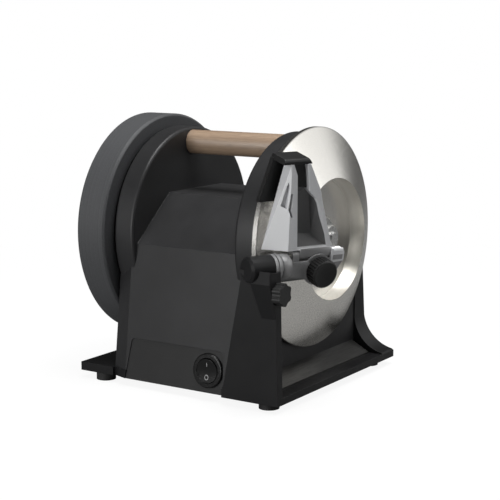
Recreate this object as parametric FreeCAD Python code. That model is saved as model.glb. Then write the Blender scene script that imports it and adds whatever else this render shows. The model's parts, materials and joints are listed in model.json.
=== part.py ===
"""Electric knife sharpener: a motor housing between two discs, a conical grinding wheel on the
right, a honing wheel on the left, a wooden carrying handle and a tilting knife guide.

Millimetres. +Z is up, +X points out of the grinding wheel, -Y is the front with the switch.
The origin lies on the bench, midway between the four feet and straight under the wheel axis.
"""
import FreeCAD, Part
import math
import os

V = FreeCAD.Vector
os.makedirs("parts", exist_ok=True)

# Wheels and their common axis
axis_z = 102.5            # height of the wheel axis above the bench
grind_r = 75.0            # grinding wheel, outer rim
grind_rim_x = 61.7        # where the working cone starts
grind_edge = 3.0          # cylindrical rim behind the cone
cone_rise = 15.3          # how far the cone stands out at the recess
recess_r = 41.35          # rim of the round recess in the cone
recess_depth = 11.0
dish_wall = 3.6
hone_r = 79.45            # honing wheel, tread radius
hone_x = -82.5            # outer face of the honing wheel
hone_width = 23.6
hone_tyre = 12.0          # depth of the honing compound on its core
shaft_r = 5.0
washer_thick = 2.0
washer_r = 15.0
nut_flats = 17.0
nut_height = 6.5

# Housing
left_disc_x = -56.0       # outer face of the left disc
left_disc_w = 16.0
right_disc_x = 57.5       # outer face of the right disc
right_disc_w = 15.2
disc_r = 71.0
disc_round = 2.0
wall = 2.6
panel_foot_y = -77.0      # front panel at its foot
panel_top_y = -66.0       # front panel at the edge of the deck
deck_front_z = 98.0
ridge_y = -29.0
saddle_z = 129.3          # flat top of the saddle
saddle_back_y = 36.0
facet_run = 12.0          # slanted facet at the left end of the front panel, along X
facet_depth = 4.0
housing_screw_places = [(x, y) for x in (-45.0, 47.0) for y in (-64.0, 64.0)]
housing_screw_r = 2.0
housing_screw_reach = 22.0
housing_boss_r = 4.5
screw_head_r = 4.0
screw_head = 2.2
counterbore = 3.0
bearing_r = 13.0
bearing_w = 8.0
boss_wall = 4.0

# Handle
handle_screw_r = 2.0
handle_r = 8.5
handle_z = 162.8
handle_seat = 6.0         # depth of the blind seats in the discs
handle_fit = 0.05

# Base
base_bottom = 5.3         # height of the feet
base_thick = 6.0
base_right = 81.7
base_left = -84.4
base_half_y = 80.2
flange_half_y = 75.0
rail_top = 10.0
rail_w = 10.7
corner_r = 3.0
foot_x = 67.6
foot_y = 68.0
foot_r = 6.8
foot_peg_r = 2.5
cover_thick = 2.0

# Guide pillar at the front and corner post at the back
pillar_foot_left = 38.3
pillar_top_left = 57.0
pillar_top_z = 92.0
pillar_top_y = -83.0
pillar_thick = 6.0
gusset_foot_z = 57.0
post_inner_y = 63.2
post_right = 58.2
post_lean = 7.5           # how far the post leans in over its height
post_top_z = 92.0
flare_foot_z = 11.0       # where the post's flare meets the rail
flare_top_z = 34.0
pivot_r = 4.0
pivot_depth = 18.0
running_gap = 0.05
loose_gap = 0.3

# Switch
panel_recess = 1.6
panel_top_z = 34.0
panel_top_left = -39.7
panel_top_right = 35.7
panel_foot_left = -44.2
panel_foot_right = 37.0
switch_x = 24.6
switch_z = 20.2
bezel_r = 11.6
bezel_proud = 2.0
switch_hole_r = 10.0
switch_body_depth = 15.0
rocker_r = 8.0
rocker_gap = 0.5
rocker_pin_r = 0.9
rocker_swing = 7.0

# Drive train
gear_module = 1.0
spindle_teeth = 42
counter_small_teeth = 14
counter_large_teeth = 42
pinion_teeth = 12
pressure_angle = math.radians(25.0)
backlash = 0.16
gear_face = 8.0
counter_gear_x = 14.0
motor_r = 23.0
motor_length = 44.0
motor_shaft_r = 2.0
counter_shaft_r = 3.0
counter_y = 14.0

# Knife guide, in its own slanted frame: t along the knife, s up the guide, q out of it
edge_angle = math.radians(13.0)      # angle that the knob is set to in this pose
barrel_s = -6.3           # swing axis of the guide, along t
barrel_q = 11.0
barrel_r = 8.3
barrel_left = -56.0
barrel_right = -33.0
boss_r = 8.0
boss_right = -25.5
guide_foot_left = -45.0
guide_foot_right = 9.2
guide_top_left = -36.0
guide_top_right = -16.7
guide_top = 61.0
guide_back = 2.0          # back face of the guide plate, out from the wheel's face
guide_front = 10.0
guide_foot = 2.8
slot_width = 4.6
leaf_thick = 3.0
leaf_foot = 33.0
shoulder_t = -9.6         # where the right arm steps in
shoulder_s = 40.0
bevel_w = 3.0
bevel_h = 1.5
pocket_floor = 1.8
pocket_wall = 0.6
cap_height = 3.2
jaw_pins = [(-30.5, 51.5), (-24.8, 40.5)]
jaw_pin_r = 1.4
jaw_pin_reach = 3.0
jaw_travel = 0.8
bar_top = -4.6
bar_foot = -17.5
bar_back = 5.0
bar_front = 11.0
bar_right = 24.0
tilt_q = 7.5
tilt_s = -1.0
knuckle_r = 3.2
tilt_pin_r = 1.5
knuckle_left = -16.0
knuckle_right = 8.0
ear_w = 5.0
knob_t = -1.3
knob_s = -11.1
knob_r = 9.6
knob_length = 9.5
knob_ribs = 30
knob_rib_depth = 0.6
knob_stem_r = 3.0
dial_r = 10.6             # scale disc behind the knob
dial_thick = 1.0
star_r = 7.5
star_lobes = 6
star_thick = 6.0
lobe_r = 2.2
star_y = -81.5
star_z = 79.0
star_screw_r = 2.0


def x_cylinder(x_low, x_high, y, z, radius):
    """A cylinder along X."""
    return Part.makeCylinder(radius, x_high - x_low, V(x_low, y, z), V(1, 0, 0))


def z_cylinder(x, y, z_low, z_high, radius):
    """An upright cylinder."""
    return Part.makeCylinder(radius, z_high - z_low, V(x, y, z_low), V(0, 0, 1))


def block(x_low, x_high, y_low, y_high, z_low, z_high):
    """A rectangular block."""
    return Part.makeBox(x_high - x_low, y_high - y_low, z_high - z_low, V(x_low, y_low, z_low))


def side_prism(outline, x_low, x_high):
    """An outline of (y, z) points pushed along X."""
    points = [V(x_low, y, z) for y, z in outline]
    face = Part.Face(Part.makePolygon(points + points[:1]))
    return face.extrude(V(x_high - x_low, 0, 0))


def front_prism(outline, y_low, y_high):
    """An outline of (x, z) points pushed along Y."""
    points = [V(x, y_low, z) for x, z in outline]
    face = Part.Face(Part.makePolygon(points + points[:1]))
    return face.extrude(V(0, y_high - y_low, 0))


def plan_prism(outline, z_low, z_high):
    """An outline of (x, y) points pushed upwards."""
    points = [V(x, y, z_low) for x, y in outline]
    face = Part.Face(Part.makePolygon(points + points[:1]))
    return face.extrude(V(0, 0, z_high - z_low))


def turned(profile, y=0.0, z=axis_z):
    """A profile of (x, radius) points turned about an axis along X."""
    points = [V(x, y, z + radius) for x, radius in profile]
    face = Part.Face(Part.makePolygon(points + points[:1]))
    return face.revolve(V(0, y, z), V(1, 0, 0), 360)


def fused(shapes):
    """One solid from several that touch or overlap."""
    return shapes[0].fuse(shapes[1:]).removeSplitter()


def save(shape, node):
    """Write one node."""
    shape.exportStep("parts/" + node + ".step")


# The guide lies in a slanted frame: t runs along the knife, s up the guide, q out of it
cone_angle = math.atan2(cone_rise, grind_r - recess_r)
along = V(math.sin(cone_angle), math.cos(cone_angle), 0)
outward = V(math.cos(cone_angle), -math.sin(cone_angle), 0)
guide_normal = outward * math.cos(edge_angle) - V(0, 0, 1) * math.sin(edge_angle)
guide_up = V(0, 0, 1) * math.cos(edge_angle) + outward * math.sin(edge_angle)
face_distance = outward.dot(V(grind_rim_x, -grind_r, 0))
edge_point = outward * face_distance + V(0, 0, axis_z)


def on_guide(shape):
    """Place a shape drawn with X = t, Y = s, Z = q where the guide is."""
    matrix = FreeCAD.Matrix(
        along.x, guide_up.x, guide_normal.x, edge_point.x,
        along.y, guide_up.y, guide_normal.y, edge_point.y,
        along.z, guide_up.z, guide_normal.z, edge_point.z,
        0, 0, 0, 1)
    return shape.transformed(matrix)


def guide_prism(outline, q_low, q_high):
    """An outline of (t, s) points pushed out of the guide's plane, in the guide's own frame."""
    points = [V(t, s, q_low) for t, s in outline]
    face = Part.Face(Part.makePolygon(points + points[:1]))
    return face.extrude(V(0, 0, q_high - q_low))


def guide_rod(t_low, t_high, s, q, radius):
    """A cylinder along the knife's direction, in the guide's own frame."""
    return Part.makeCylinder(radius, t_high - t_low, V(t_low, s, q), V(1, 0, 0))


def barrel_point(t):
    """A point of the guide's swing axis."""
    return edge_point + along * t + guide_up * barrel_s + guide_normal * barrel_q


def barrel_cylinder(t_low, t_high, radius):
    """A cylinder on the guide's swing axis."""
    return Part.makeCylinder(radius, t_high - t_low, barrel_point(t_low), along)


# Grinding wheel, honing wheel and what holds them on the shaft
dish_floor = grind_rim_x + cone_rise - recess_depth
dish_back = dish_floor - dish_wall


def make_grinding_wheel():
    """A steel dish with a conical working face, a round recess and an open back."""
    slope = cone_rise / (grind_r - recess_r)
    cup_r = recess_r + dish_wall
    profile = [
        (grind_rim_x - grind_edge, grind_r),
        (grind_rim_x, grind_r),
        (grind_rim_x + cone_rise, recess_r),
        (dish_floor, recess_r - 0.8),
        (dish_floor, shaft_r + running_gap),
        (dish_back, shaft_r + running_gap),
        (dish_back, cup_r),
        (grind_rim_x + (grind_r - cup_r) * slope - dish_wall, cup_r),
        (grind_rim_x - grind_edge, grind_r - 1.4 * dish_wall)]
    return turned(profile)


def make_hex_nut(x_low, x_high, flats, bore_r):
    """A chamfered hexagon nut on the wheel axis."""
    corner = flats / math.sqrt(3)
    outline = [(corner * math.cos(math.pi * k / 3), axis_z + corner * math.sin(math.pi * k / 3))
               for k in range(6)]
    prism = side_prism(outline, x_low, x_high)
    chamfer = corner - flats / 2
    envelope = turned([(x_low, 0), (x_low, flats / 2), (x_low + chamfer, corner),
                       (x_high - chamfer, corner), (x_high, flats / 2), (x_high, 0)])
    return prism.common(envelope).cut(x_cylinder(x_low - 1, x_high + 1, 0, axis_z, bore_r))


nut_left = dish_floor + washer_thick
shaft_right = nut_left + nut_height + 2.0
hub_inner = right_disc_x + loose_gap
hone_inner = hone_x + hone_width
core_wall = 4.0
hone_web = hone_x + hone_width / 2
hone_core_r = hone_r - hone_tyre
hone_washer_x = hone_web - core_wall / 2 - washer_thick
shaft_left = hone_washer_x - nut_height - 1.5
hone_hub_r = 14.0

save(make_grinding_wheel(), "grinding_wheel")
save(turned([(hub_inner, shaft_r), (hub_inner, 9.0), (dish_back - 2.5, 9.0), (dish_back - 2.5, 20.0),
             (dish_back, 20.0), (dish_back, shaft_r)]), "grinding_hub")
save(turned([(dish_floor, shaft_r + running_gap), (dish_floor, washer_r), (nut_left - 0.6, washer_r),
             (nut_left, washer_r - 1.0), (nut_left, shaft_r + running_gap)]), "grinding_washer")
save(make_hex_nut(nut_left, nut_left + nut_height, nut_flats, shaft_r), "grinding_nut")

save(turned([(hone_x, hone_core_r), (hone_x, hone_r - 1.5), (hone_x + 1.5, hone_r),
             (hone_inner - 1.5, hone_r), (hone_inner, hone_r - 1.5), (hone_inner, hone_core_r)]),
     "honing_tyre")


def make_honing_core():
    """The plastic core of the honing wheel: a rim, a web with six round holes and a hub."""
    rim = [(hone_x + 1.0, hone_core_r - core_wall), (hone_x + 1.0, hone_core_r),
           (hone_inner - 1.0, hone_core_r), (hone_inner - 1.0, hone_core_r - core_wall),
           (hone_web + core_wall / 2, hone_core_r - core_wall),
           (hone_web + core_wall / 2, hone_hub_r), (hone_inner + loose_gap, hone_hub_r),
           (hone_inner + loose_gap, shaft_r), (hone_web - core_wall / 2, shaft_r),
           (hone_web - core_wall / 2, hone_core_r - core_wall)]
    core = turned(rim)
    hole_circle = (hone_hub_r + hone_core_r - core_wall) / 2
    hole_r = 8.0
    for k in range(6):
        angle = math.pi * (2 * k + 1) / 6
        core = core.cut(x_cylinder(hone_x, hone_inner, hole_circle * math.cos(angle),
                                   axis_z + hole_circle * math.sin(angle), hole_r))
    return core


save(make_honing_core(), "honing_core")
save(turned([(hone_washer_x, shaft_r + running_gap), (hone_washer_x, washer_r),
             (hone_washer_x + washer_thick, washer_r),
             (hone_washer_x + washer_thick, shaft_r + running_gap)]), "honing_washer")
save(make_hex_nut(hone_washer_x - nut_height, hone_washer_x, nut_flats, shaft_r), "honing_nut")
save(turned([(shaft_left, 0), (shaft_left, shaft_r - 1), (shaft_left + 1, shaft_r),
             (shaft_right - 1, shaft_r), (shaft_right, shaft_r - 1), (shaft_right, 0)]), "main_shaft")

# Motor housing
left_inner = left_disc_x + left_disc_w
right_inner = right_disc_x - right_disc_w
panel_slope = (panel_top_y - panel_foot_y) / (deck_front_z - base_bottom)
floor_z = base_bottom + base_thick


def panel_y(z):
    """Where the front panel's outer face lies at a height."""
    return panel_foot_y + (z - base_bottom) * panel_slope


def saddle_outline(inset, z_low):
    """The saddle's side view: leaning panels, a sloping deck and a flat top."""
    deck_drop = inset * 1.3
    return [(panel_y(z_low) + inset, z_low), (panel_top_y + inset, deck_front_z - deck_drop / 2),
            (ridge_y + inset / 3, saddle_z - inset), (saddle_back_y - inset / 3, saddle_z - inset),
            (-panel_top_y - inset, deck_front_z - deck_drop / 2), (-panel_y(z_low) - inset, z_low)]


def make_disc(x_low, x_high):
    """A round end of the housing with softened rims."""
    disc = x_cylinder(x_low, x_high, 0, axis_z, disc_r)
    return disc.makeFillet(disc_round, [edge for edge in disc.Edges if edge.Length > 2 * disc_r])


def make_housing():
    """The hollow housing: saddle and discs, bearing seats, handle seats and the switch panel."""
    saddle = side_prism(saddle_outline(0, floor_z), left_disc_x, right_disc_x)
    panel_left = left_disc_x + facet_run
    facet = plan_prism([(left_disc_x - 1, panel_foot_y - 1), (panel_left, panel_foot_y - 1),
                        (panel_left, panel_foot_y), (left_disc_x, panel_foot_y + facet_depth),
                        (left_disc_x - 1, panel_foot_y + facet_depth)], 0, saddle_z)
    lean = FreeCAD.Rotation(V(1, 0, 0), -math.degrees(math.atan(panel_slope)))
    facet.Placement = FreeCAD.Placement(V(0, 0, 0), lean, V(0, panel_foot_y, base_bottom))
    saddle = saddle.cut(facet)
    for x_low, x_high in ((left_disc_x, left_inner), (right_inner, right_disc_x)):
        clear_sides = block(x_low, x_high, -2 * grind_r, 2 * grind_r, axis_z, 2 * axis_z)
        saddle = saddle.cut(clear_sides)
    shell = fused([saddle, make_disc(left_disc_x, left_inner), make_disc(right_inner, right_disc_x)])
    room = side_prism(saddle_outline(wall, floor_z - 1), left_inner - wall, right_inner + wall)
    side_room = side_prism([(panel_y(floor_z) + 2 * wall, floor_z - 1),
                            (panel_top_y + 2 * wall, axis_z - 8),
                            (-panel_top_y - 2 * wall, axis_z - 8),
                            (-panel_y(floor_z) - 2 * wall, floor_z - 1)],
                           left_disc_x + wall, right_disc_x - wall)
    shell = shell.cut(room).cut(side_room)
    for x_low, x_high in ((left_disc_x, left_inner), (right_inner, right_disc_x)):
        shell = shell.cut(x_cylinder(x_low + wall, x_high - wall, 0, axis_z, disc_r - wall))
    shell = shell.fuse(x_cylinder(left_disc_x + wall / 2, left_inner - wall / 2, 0, axis_z,
                                  bearing_r + boss_wall))
    shell = shell.fuse(x_cylinder(right_inner + wall / 2, right_disc_x - wall / 2, 0, axis_z,
                                  bearing_r + boss_wall))
    for x_end, step in ((left_inner, -1), (right_inner, 1)):
        low, high = sorted((x_end + step * 0.5, x_end + step * (handle_seat + wall)))
        boss = x_cylinder(low, high, 0, handle_z, handle_r + wall)
        shell = shell.fuse(boss.common(x_cylinder(low, high, 0, axis_z, disc_r - 0.5)))
        shell = shell.cut(x_cylinder(low - 1, high + 1, 0, handle_z, handle_screw_r + loose_gap))
        low, high = sorted((x_end - step, x_end + step * handle_seat))
        shell = shell.cut(x_cylinder(low, high, 0, handle_z, handle_r + handle_fit))
    shell = shell.cut(x_cylinder(left_bearing_x, left_inner + 1, 0, axis_z, bearing_r))
    shell = shell.cut(x_cylinder(right_inner - 1, right_bearing_x + bearing_w, 0, axis_z, bearing_r))
    shell = shell.cut(x_cylinder(left_disc_x - 1, right_disc_x + 1, 0, axis_z, shaft_r + 1.5))
    for x, y in housing_screw_places:
        boss = z_cylinder(x, y, floor_z, floor_z + housing_screw_reach, housing_boss_r)
        pilot = z_cylinder(x, y, floor_z - 1, floor_z + housing_screw_reach - wall,
                           housing_screw_r + running_gap)
        shell = shell.fuse(boss).cut(pilot)
    shell = shell.cut(make_panel(panel_recess)).cut(switch_axis_cylinder(
        switch_hole_r + loose_gap, -wall * 3, 5))
    shell = shell.cut(gland_cylinder(gland_r + running_gap, -5, 5))
    return shell.removeSplitter()


def make_panel(depth, proud=0.0):
    """The inset switch panel, open to the foot of the front panel, with rounded top corners."""
    outline = [(panel_foot_left, base_bottom - 1), (panel_top_left, panel_top_z),
               (panel_top_right, panel_top_z), (panel_foot_right, base_bottom - 1)]
    panel = front_prism(outline, panel_foot_y - proud, panel_foot_y + depth)
    upright = [edge for edge in panel.Edges
               if abs(edge.tangentAt(0).y) > 0.99 and edge.Vertexes[0].Z > panel_top_z - 1]
    panel = panel.makeFillet(corner_r, upright)
    lean = FreeCAD.Rotation(V(1, 0, 0), -math.degrees(math.atan(panel_slope)))
    panel.Placement = FreeCAD.Placement(V(0, 0, 0), lean, V(0, panel_foot_y, base_bottom))
    return panel


panel_out = V(0, -math.cos(math.atan(panel_slope)), math.sin(math.atan(panel_slope)))
panel_up = V(0, math.sin(math.atan(panel_slope)), math.cos(math.atan(panel_slope)))
switch_centre = V(switch_x, panel_y(switch_z), switch_z) - panel_out * panel_recess


def switch_axis_cylinder(radius, low, high):
    """A cylinder square to the switch panel; low and high count out of its face."""
    return Part.makeCylinder(radius, high - low, switch_centre + panel_out * low, panel_out)


gland_r = 4.5
gland_bore_r = 3.3
gland_length = 14.0
gland_z = 24.0
gland_x = -20.0
gland_centre = V(gland_x, -panel_y(gland_z), gland_z)
gland_out = V(0, -panel_out.y, panel_out.z)


def gland_cylinder(radius, low, high):
    """A cylinder square to the back panel where the mains cord enters."""
    return Part.makeCylinder(radius, high - low, gland_centre + gland_out * low, gland_out)


left_bearing_x = left_inner - wall - bearing_w
right_bearing_x = right_inner + wall
save(make_housing(), "main_housing")

for node, bearing_x in (("left_bearing", left_bearing_x), ("right_bearing", right_bearing_x)):
    ring = turned([(bearing_x, shaft_r + running_gap), (bearing_x, bearing_r),
                   (bearing_x + bearing_w, bearing_r), (bearing_x + bearing_w, shaft_r + running_gap)])
    groove = turned([(bearing_x - 1, 7.6), (bearing_x - 1, 10.6), (bearing_x + 0.6, 10.6),
                     (bearing_x + 0.6, 7.6)])
    other = turned([(bearing_x + bearing_w - 0.6, 7.6), (bearing_x + bearing_w - 0.6, 10.6),
                    (bearing_x + bearing_w + 1, 10.6), (bearing_x + bearing_w + 1, 7.6)])
    save(ring.cut(groove).cut(other), node)

housing_screws = []
for x, y in housing_screw_places:
    head_z = base_bottom + counterbore
    head = z_cylinder(x, y, head_z - screw_head, head_z, screw_head_r)
    shank = z_cylinder(x, y, head_z - 0.5, floor_z + housing_screw_reach - wall - 1, housing_screw_r)
    housing_screws.append(head.fuse(shank).removeSplitter())
save(Part.makeCompound(housing_screws), "housing_screws")

# Handle
handle = x_cylinder(left_inner - handle_seat, right_inner + handle_seat, 0, handle_z, handle_r)
handle = handle.makeChamfer(0.8, [edge for edge in handle.Edges if edge.Length > handle_r * 4])
screw_reach = 14.0
screw_sets = []
for x_end, step in ((left_inner - handle_seat, -1), (right_inner + handle_seat, 1)):
    seat_end = x_end + step * wall
    low, high = sorted((seat_end, x_end - step * screw_reach))
    shank = x_cylinder(low, high, 0, handle_z, handle_screw_r)
    handle = handle.cut(x_cylinder(low, high, 0, handle_z, handle_screw_r + running_gap))
    low, high = sorted((seat_end, seat_end + step * screw_head))
    screw_sets.append(shank.fuse(x_cylinder(low, high, 0, handle_z, screw_head_r)).removeSplitter())
save(handle, "handle")
save(Part.makeCompound(screw_sets), "handle_screws")

# Base: plate, rail and guide pillars
service_left = -50.0
service_right = 6.0
service_front = -26.0
service_back = 60.0
cover_ledge = 6.0
small_screw_r = 1.4
small_head_r = 2.6
small_head = 1.6
small_screw_reach = 5.0
tray_top_x = right_disc_x
tray_top_z = 18.5
tray_half_y = 62.0
tray_thick = 1.2
rail_left = base_right - rail_w


def cover_box(grow):
    """Sides of the bottom cover in plan, grown or shrunk."""
    return (service_left - grow, service_right + grow, service_front - grow, service_back + grow)


def cover_screw_places():
    """The four screws in the ledge round the service opening."""
    inset = cover_ledge / 2
    return [(x, y) for x in (service_left + inset, service_right - inset)
            for y in (service_front + inset, service_back - inset)]


def make_pillar():
    """The front pillar: a leaning plate under the guide's barrel, with a gusset below its end."""
    plate = side_prism([(-base_half_y, base_bottom), (pillar_top_y, pillar_top_z),
                        (pillar_top_y + pillar_thick, pillar_top_z),
                        (-base_half_y + pillar_thick, base_bottom)], pillar_foot_left, base_right)
    seam = front_prism([(pillar_foot_left - 1, base_bottom), (pillar_foot_left, base_bottom),
                        (pillar_top_left, pillar_top_z + 1), (pillar_foot_left - 1, pillar_top_z + 1)],
                       -2 * base_half_y, 0)
    barrel_end = barrel_point(barrel_left + 1)
    gusset = side_prism([(-base_half_y, gusset_foot_z), (barrel_end.y, barrel_end.z - barrel_r),
                         (barrel_end.y, barrel_end.z), (pillar_top_y + 1, pillar_top_z)],
                        pillar_top_left, base_right)
    undercut = front_prism([(pillar_top_left - 1, base_bottom), (base_right - 10, gusset_foot_z - 2),
                            (barrel_end.x + 2, barrel_end.z - barrel_r),
                            (barrel_end.x - barrel_r + 1, barrel_end.z),
                            (pillar_top_left - 1, barrel_end.z)], -2 * base_half_y, 0)
    above = barrel_cylinder(barrel_left + 2, barrel_right, 3 * barrel_r)
    above = above.common(block(pillar_top_left, base_right + 20, -2 * base_half_y, 0,
                               barrel_end.z, 2 * axis_z))
    pillar = plate.cut(seam).fuse(gusset.cut(undercut)).cut(above)
    barrel = barrel_cylinder(barrel_left, barrel_right, barrel_r)
    barrel = barrel.makeChamfer(1.6, [edge for edge in barrel.Edges
                                      if edge.Length > barrel_r * 4 and edge.CenterOfMass.y
                                      < barrel_point(barrel_left + 1).y])
    pillar = pillar.fuse(barrel)
    pillar = pillar.cut(barrel_cylinder(barrel_right - pivot_depth, barrel_right + 1,
                                        pivot_r + running_gap))
    screw = x_cylinder(base_right - 10, base_right + 1, star_y, star_z, star_screw_r + running_gap)
    return pillar.cut(screw).removeSplitter()


def make_corner_post():
    """The back corner: a leaning post behind the right disc whose foot flares into the rail."""
    top_y = base_half_y - post_lean
    post = side_prism([(post_inner_y, base_bottom), (base_half_y, base_bottom),
                       (base_half_y, flare_foot_z), (top_y, post_top_z), (post_inner_y, post_top_z)],
                      pillar_foot_left, post_right)
    slant = front_prism([(pillar_foot_left - 1, base_bottom), (pillar_foot_left, base_bottom),
                         (pillar_top_left - 4, post_top_z + 1), (pillar_foot_left - 1, post_top_z + 1)],
                        0, 2 * base_half_y)
    corners = [(post_right - 1, base_bottom), (base_right, base_bottom), (base_right, rail_top),
               (base_right - 1.5, flare_foot_z)]
    points = [V(x, post_inner_y, z) for x, z in corners]
    curve = Part.Arc(points[-1], V(post_right + 6.5, post_inner_y, flare_foot_z + 8.6),
                     V(post_right, post_inner_y, flare_top_z))
    sides = [Part.LineSegment(points[k], points[k + 1]) for k in range(3)]
    sides += [curve, Part.LineSegment(V(post_right, post_inner_y, flare_top_z),
                                      V(post_right - 1, post_inner_y, flare_top_z)),
              Part.LineSegment(V(post_right - 1, post_inner_y, flare_top_z), points[0])]
    outline = Part.Wire([side.toShape() for side in sides])
    flare = Part.Face(outline).extrude(V(0, base_half_y - post_inner_y, 0))
    return post.cut(slant).fuse(flare.common(side_prism(
        [(post_inner_y, base_bottom), (base_half_y, base_bottom), (base_half_y, flare_foot_z),
         (top_y, post_top_z), (post_inner_y, post_top_z)], post_right - 2, base_right)))


def make_base():
    """The base: a plate with a side flange under the honing wheel, a rail and two pillars."""
    plate = plan_prism([(pillar_foot_left, -base_half_y), (base_right, -base_half_y),
                        (base_right, base_half_y), (pillar_foot_left, base_half_y),
                        (pillar_foot_left, -panel_foot_y), (left_disc_x, -panel_foot_y),
                        (left_disc_x, flange_half_y), (base_left, flange_half_y),
                        (base_left, -flange_half_y), (left_disc_x, -flange_half_y),
                        (left_disc_x, panel_foot_y + facet_depth),
                        (left_disc_x + facet_run, panel_foot_y), (pillar_foot_left, panel_foot_y)],
                       base_bottom, floor_z)
    plate = plate.cut(block(*cover_box(0), base_bottom - 1, base_bottom + cover_thick))
    plate = plate.cut(block(*cover_box(-cover_ledge), base_bottom - 1, floor_z + 1))
    for x, y in cover_screw_places():
        plate = plate.cut(z_cylinder(x, y, base_bottom, base_bottom + base_thick - 0.5,
                                     small_screw_r + running_gap))
    tray_bed = front_prism([(tray_top_x, base_bottom + 1), (rail_left, base_bottom + 1),
                            (rail_left, rail_top), (tray_top_x, tray_top_z - tray_thick)],
                           -tray_half_y, tray_half_y)
    rail_cut = block(tray_top_x, base_right + 1, -base_half_y - 1, base_half_y + 1, rail_top,
                     floor_z + 1)
    plate = plate.cut(rail_cut).fuse(tray_bed)
    base = plate.fuse([make_pillar(), make_corner_post()])
    housing_body = side_prism(saddle_outline(0, base_bottom), left_disc_x - 1, right_disc_x)
    above = housing_body.common(block(left_disc_x - 2, right_disc_x, -2 * base_half_y,
                                      2 * base_half_y, floor_z, 2 * axis_z))
    base = base.cut(above)
    base = base.cut(x_cylinder(right_inner, right_disc_x, 0, axis_z, disc_r))
    base = base.cut(make_panel(panel_recess, bezel_proud)).cut(switch_axis_cylinder(
        switch_hole_r + loose_gap, -switch_body_depth - 1, 1))
    for x, y in housing_screw_places:
        base = base.cut(z_cylinder(x, y, base_bottom - 1, floor_z + 1, housing_screw_r + loose_gap))
        base = base.cut(z_cylinder(x, y, base_bottom - 1, base_bottom + counterbore,
                                   screw_head_r + loose_gap))
    for x in (-foot_x, foot_x):
        for y in (-foot_y, foot_y):
            base = base.cut(z_cylinder(x, y, base_bottom - 1, base_bottom + 4, foot_peg_r))
    return base.removeSplitter()


save(make_base(), "base_frame")

tray = front_prism([(tray_top_x, tray_top_z - tray_thick), (rail_left, rail_top),
                    (rail_left, rail_top + tray_thick), (tray_top_x, tray_top_z)],
                   -tray_half_y + 1, tray_half_y - 1)
save(tray, "debris_tray")

cover = block(*cover_box(-loose_gap), base_bottom, base_bottom + cover_thick)
cover_screws = []
for x, y in cover_screw_places():
    cover = cover.cut(z_cylinder(x, y, base_bottom - 1, base_bottom + 3, small_screw_r + loose_gap))
    head = z_cylinder(x, y, base_bottom - small_head, base_bottom, small_head_r)
    head = head.makeChamfer(0.5, [edge for edge in head.Edges if edge.Length > small_head_r * 4
                                  and edge.Vertexes[0].Z < base_bottom - 1])
    cover_screws.append(head.fuse(z_cylinder(x, y, base_bottom - 0.5,
                                             base_bottom + small_screw_reach, small_screw_r)))
save(Part.makeCompound(cover_screws), "cover_screws")
vent_pitch = 9.0
vent_half = 18.0
for k in range(6):
    vent_y = service_front + 16 + vent_pitch * k
    vent_x = (service_left + service_right) / 2
    cover = cover.cut(block(vent_x - vent_half, vent_x + vent_half, vent_y - 1.5, vent_y + 1.5,
                            base_bottom - 1, base_bottom + 3))
save(cover, "bottom_cover")

feet = []
for x in (-foot_x, foot_x):
    for y in (-foot_y, foot_y):
        pad = z_cylinder(x, y, 0, base_bottom, foot_r)
        feet.append(pad.fuse(z_cylinder(x, y, base_bottom - 0.5, base_bottom + 3.6, foot_peg_r - 0.02)))
save(Part.makeCompound(feet), "rubber_feet")

# Switch
switch_panel_thick = 1.0
plate = make_panel(panel_recess).cut(make_panel(panel_recess - switch_panel_thick))
plate = plate.common(block(left_disc_x, right_disc_x, -2 * base_half_y, 0, base_bottom, axis_z))
plate = plate.cut(switch_axis_cylinder(switch_hole_r + loose_gap, -5, 5))
save(plate, "switch_panel")

bezel_face = switch_panel_thick
bezel = switch_axis_cylinder(bezel_r, bezel_face, bezel_face + bezel_proud)
bezel = bezel.makeFillet(0.9, [edge for edge in bezel.Edges if edge.Length > bezel_r * 4
                               and (edge.CenterOfMass - switch_centre).dot(panel_out) > bezel_face + 1])
body = switch_axis_cylinder(switch_hole_r, -switch_body_depth, bezel_face)
well = switch_axis_cylinder(rocker_r + rocker_gap, -5, bezel_face + bezel_proud + 1)
body = bezel.fuse(body).cut(well)
pin_reach = rocker_r + 1.7
body = body.cut(Part.makeCylinder(rocker_pin_r + running_gap, 2 * pin_reach,
                                  switch_centre + panel_out * 1.0 - V(pin_reach, 0, 0), V(1, 0, 0)))
save(body.removeSplitter(), "switch_body")


def make_rocker():
    """A round rocker, dished so that one half stands proud."""
    top = rocker_pivot + 3.0
    pivot = switch_centre + panel_out * rocker_pivot
    rocker = switch_axis_cylinder(rocker_r, rocker_pivot - 3.0, top)
    dish_r = 30.0
    cutter = Part.makeCylinder(dish_r, 4 * rocker_r,
                               pivot + panel_out * (top - rocker_pivot - 0.9 + dish_r)
                               - V(2 * rocker_r, 0, 0), V(1, 0, 0))
    rocker = rocker.cut(cutter)
    pin = Part.makeCylinder(rocker_pin_r, 2 * rocker_pin_reach, pivot - V(rocker_pin_reach, 0, 0),
                            V(1, 0, 0))
    rocker = rocker.fuse(pin)
    rocker.rotate(pivot, V(1, 0, 0), rocker_swing / 2)
    return rocker


rocker_pivot = 1.0
rocker_pin_reach = rocker_r + 1.4
save(make_rocker(), "switch_rocker")
save(gland_cylinder(gland_r + 2, 0, 2.5).fuse(gland_cylinder(gland_r, -6, 0)).cut(
    gland_cylinder(gland_bore_r, -7, 3)).removeSplitter(), "cord_gland")


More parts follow.
